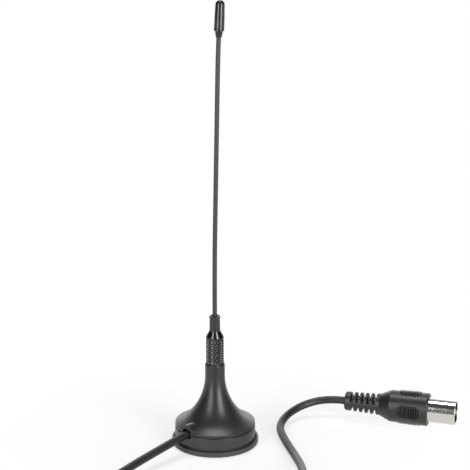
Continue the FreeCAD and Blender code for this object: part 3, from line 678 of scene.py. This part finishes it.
class ANTENNA_OT_plug(bpy.types.Operator):
    """Moulds the plug's boot, and finishes its contacts"""
    bl_idname = "antenna.plug"
    bl_label = "Plug"

    def execute(self, context):
        plug = context.scene.antenna_plug
        boot = self.boot()
        boot.data.materials.append(overmould_pvc("overmoulded_pvc_satin_black", plug.boot))
        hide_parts("plug_boot")
        plated = nickel_plate("bright_nickel_plate", plug.nickel, PLUG_TURN)
        for name in ("plug_sleeve", "plug_clamp", "plug_pin"):
            dress_node(name, plated)
        dress_node("plug_insulator", plain_grain("natural_polythene", plug.insulator, 0.0, (0.4, 0.5), 0.6))
        return {"FINISHED"}

    def boot(self):
        """The boot from its tail to its mouth: the slotted strain relief, a cone and the ribbed grip."""
        lead_radius = 1.55
        clamp_radius = 4.6
        clamp_foot = 24.9
        tail_radius = 3.65
        relief_radius = 4.2
        relief_end = 13.8
        cone_end = 18.1
        rear_radius = 6.12
        front_radius = 6.35
        front = 32.9
        corners = [
            (lead_radius, 0.0),
            (tail_radius, 0.0, 0.6),
            (relief_radius, relief_end, 0.3),
            (rear_radius, cone_end, 0.8),
            (front_radius, front, 0.45),
            (clamp_radius, front),
            (clamp_radius, clamp_foot),
            (lead_radius, clamp_foot),
        ]
        # The strain relief's slots, with their rounded edges, and the two spines between them
        core_radius = 2.45
        slot_first = 3.07
        slot_pitch = 2.2
        slot_width = 0.95
        slots = 5
        slot_floor = slot_width * 0.32
        slot_mouth = slot_width * 0.78
        spine_half = math.radians(15)
        spine_foot = spine_half - 0.02
        spine_edge = spine_half + 0.09
        # The four pads, with their ribs and soft sides
        ribs = 9
        rib_pitch = 0.956
        rib_fullness = 1.25
        pad_inset = 3.1
        pad_length = ribs * rib_pitch
        pad_foot = front - pad_inset - pad_length
        pad_radius = 6.75
        pad_taper = 0.225
        pad_half = math.radians(25)
        pad_corner = math.radians(6)
        side_in = 0.035
        side_out = 0.015
        valley = rear_radius + 0.02
        # Points nearer the axis or the mouth than these stay as the outline has them.
        inside_radius = 3.0
        mouth_edge = front - 0.5
        outline_step = 0.13
        sides = 240

        def ramp(value, low, high):
            """Rises softly from 0 to 1 between two values."""
            share = min(max((value - low) / (high - low), 0.0), 1.0)
            return share * share * (3 - 2 * share)

        def relief_slots(turn, radius, height):
            """The radius in the strain relief, down to its core in the slots."""
            spine = abs((turn + math.pi / 2) % math.pi - math.pi / 2)
            slot = min(max(round((height - slot_first) / slot_pitch), 0), slots - 1)
            apart = abs(height - slot_first - slot * slot_pitch)
            depth = (1 - ramp(apart, slot_floor, slot_mouth)) * ramp(spine, spine_foot, spine_edge)
            return radius + (core_radius - radius) * depth

        def pad_ribs(turn, radius, rise):
            """The radius on the grip, raised to the ribs on each pad, at a distance from the pads' foot."""
            quarter = abs((turn + math.pi / 4) % (math.pi / 2) - math.pi / 4)
            rib = int(rise / rib_pitch)
            half = pad_half - (pad_corner if rib in (0, ribs - 1) else 0.0)
            crest = pad_radius - pad_taper * (1 - rise / pad_length)
            wave = 0.5 - 0.5 * math.cos(2 * math.pi * rise / rib_pitch)
            on_pad = 1 - ramp(quarter, half - side_in, half + side_out)
            ribbed = valley + (crest - valley) * min(wave * rib_fullness, 1.0)
            return radius + (ribbed - radius) * on_pad

        def moulded(turn, radius, height):
            """The slots of the strain relief between its two spines, and the ribs of the four pads."""
            if radius < inside_radius or height > mouth_edge:
                return radius
            if height < relief_end:
                return relief_slots(turn, radius, height)
            if 0 < height - pad_foot < pad_length:
                return pad_ribs(turn, radius, height - pad_foot)
            return radius

        return turned("plug_boot_moulding", corners, outline_step, sides, plug_place(), moulded)


class ANTENNA_OT_inside(bpy.types.Operator):
    """Finishes the pieces inside the base"""
    bl_idname = "antenna.inside"
    bl_label = "Inner pieces"

    def execute(self, context):
        brass = plain_grain("turned_brass", linear("#c9a65a"), 1.0, (0.22, 0.32), 0.5)
        copper = plain_grain("drawn_copper", linear("#c27a52"), 1.0, (0.25, 0.35), 0.4)
        ferrite = plain_grain("sintered_ferrite", linear("#3a3a3b"), 0.0, (0.55, 0.7), 0.3)
        zinc = plain_grain("zinc_plated_steel", linear("#a9abae"), 1.0, (0.3, 0.42), 0.8)
        dress_node("magnet", ferrite)
        dress_node("pole_plate", zinc)
        for name in ("neck_stud", "cable_crimp"):
            dress_node(name, brass)
        for name in ("core_tail", "braid_tail"):
            dress_node(name, copper)
        return {"FINISHED"}


class ANTENNA_OT_stage(bpy.types.Operator):
    """Sets the floor, the white studio, its softboxes and the camera"""
    bl_idname = "antenna.stage"
    bl_label = "Stage"

    def execute(self, context):
        stage = context.scene.antenna_stage
        self.camera(context, stage)
        self.floor(context)
        self.world(context, stage)
        # Each softbox has its place, the height on the antenna's axis that it faces and its sides, in
        # metres, and its power.
        softboxes = [
            ("softbox_left", (-0.44, -0.62, 0.38), 0.38, (0.26, 0.74), stage.left_light),
            ("softbox_right", (0.5, -0.58, 0.38), 0.38, (0.32, 0.74), stage.right_light),
            ("softbox_top", (0, 0.13, 0.62), 0.0, (0.24, 0.18), stage.top_light),
            ("softbox_back", (0, 0.85, 0.22), 0.05, (1.2, 0.34), stage.back_light),
        ]
        for name, place, aim_height, sides, watts in softboxes:
            self.softbox(context, name, Vector(place), aim_height, sides, watts)
        context.scene.view_settings.view_transform = "Standard"
        return {"FINISHED"}

    def camera(self, context, stage):
        """A camera in front of the antenna that looks slightly down on it."""
        data = bpy.data.cameras.new("camera")
        data.lens = stage.lens
        data.sensor_width = 36
        data.clip_start = 0.01
        camera = bpy.data.objects.new("camera", data)
        camera.location = (stage.camera_x, -stage.camera_back, stage.camera_height)
        camera.rotation_euler = (math.pi / 2 - stage.camera_dip, 0, 0)
        context.scene.collection.objects.link(camera)
        context.scene.camera = camera

    def floor(self, context):
        """A wide sheet of paper, a hair under the foot."""
        half_side = 4000 * MM
        drop = 0.05 * MM
        mesh = bmesh.new()
        bmesh.ops.create_grid(mesh, x_segments=1, y_segments=1, size=half_side)
        data = bpy.data.meshes.new("floor")
        mesh.to_mesh(data)
        mesh.free()
        floor = bpy.data.objects.new("floor", data)
        floor.location = (0, 0, -drop)
        context.scene.collection.objects.link(floor)
        # The floor's material paints a white glow on the paper, weaker near the antenna.
        data.materials.append(paper_with_painted_glow("paper_floor_with_painted_glow"))

    def world(self, context, stage):
        """White to the eye. Gloss sees a white backdrop behind the antenna and a dimmer room in front."""
        room_end = 0.4
        backdrop_start = 0.95
        room_light = 0.08
        world = bpy.data.worlds.new("studio")
        world.use_nodes = True
        tree = world.node_tree
        seen = add_node(tree, "ShaderNodeLightPath")
        place = add_node(tree, "ShaderNodeTexCoord")
        way = add_node(tree, "ShaderNodeSeparateXYZ", links={0: place.outputs["Generated"]})
        room = add_node(tree, "ShaderNodeMapRange",
                        {"From Min": room_end, "From Max": backdrop_start,
                         "To Min": room_light, "To Max": 1.0},
                        {"Value": way.outputs["Y"]}, interpolation_type="SMOOTHSTEP")
        gloss = add_node(tree, "ShaderNodeMath", operation="MAXIMUM",
                         links={0: seen.outputs["Is Glossy Ray"], 1: seen.outputs["Is Transmission Ray"]})
        even = add_node(tree, "ShaderNodeMix", {2: stage.ambient},
                        {0: gloss.outputs[0], 3: room.outputs[0]})
        eye = add_node(tree, "ShaderNodeMix", {3: 1.0},
                       {0: seen.outputs["Is Camera Ray"], 2: even.outputs[0]})
        sky = tree.nodes["Background"]
        sky.inputs["Color"].default_value = (1, 1, 1, 1)
        tree.links.new(eye.outputs[0], sky.inputs["Strength"])
        context.scene.world = world

    def softbox(self, context, name, place, aim_height, sides, watts):
        """A rectangular lamp that faces the antenna's axis at a height."""
        data = bpy.data.lights.new(name, "AREA")
        data.shape = "RECTANGLE"
        data.size, data.size_y = sides
        data.energy = watts
        lamp = bpy.data.objects.new(name, data)
        lamp.location = place
        lamp.rotation_euler = (UP * aim_height - place).to_track_quat("-Z", "Y").to_euler()
        lamp.visible_camera = False
        context.scene.collection.objects.link(lamp)


class ANTENNA_PT_pieces(bpy.types.Panel):
    """Lists the antenna's pieces and their settings"""
    bl_idname = "ANTENNA_PT_pieces"
    bl_label = "Whip antenna"
    bl_space_type = "VIEW_3D"
    bl_region_type = "UI"
    bl_category = "Antenna"

    def draw(self, context):
        for operator, group in GROUPS.items():
            box = self.layout.box()
            box.operator(operator.bl_idname)
            if group:
                settings = getattr(context.scene, group)
                for name in settings.__annotations__:
                    box.prop(settings, name)


SETTINGS = {
    "antenna_lead": LeadSettings,
    "antenna_base": BaseSettings,
    "antenna_mast": MastSettings,
    "antenna_plug": PlugSettings,
    "antenna_stage": StageSettings,
}
GROUPS = {
    ANTENNA_OT_stage: "antenna_stage",
    ANTENNA_OT_base: "antenna_base",
    ANTENNA_OT_mast: "antenna_mast",
    ANTENNA_OT_plug: "antenna_plug",
    ANTENNA_OT_lead: "antenna_lead",
    ANTENNA_OT_inside: None,
}


def register():
    """Adds the settings, the operators and the panel to Blender."""
    for name, settings in SETTINGS.items():
        bpy.utils.register_class(settings)
        setattr(bpy.types.Scene, name, PointerProperty(type=settings))
    for operator in GROUPS:
        bpy.utils.register_class(operator)
    bpy.utils.register_class(ANTENNA_PT_pieces)


def unregister():
    """Takes them out again."""
    bpy.utils.unregister_class(ANTENNA_PT_pieces)
    for operator in reversed(GROUPS):
        bpy.utils.unregister_class(operator)
    for name, settings in SETTINGS.items():
        delattr(bpy.types.Scene, name)
        bpy.utils.unregister_class(settings)


def main():
    """Dresses the antenna."""
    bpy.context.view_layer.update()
    register()
    bpy.ops.antenna.stage()
    bpy.ops.antenna.base()
    bpy.ops.antenna.mast()
    bpy.ops.antenna.plug()
    bpy.ops.antenna.lead()
    bpy.ops.antenna.inside()


if __name__ == "__main__":
    main()
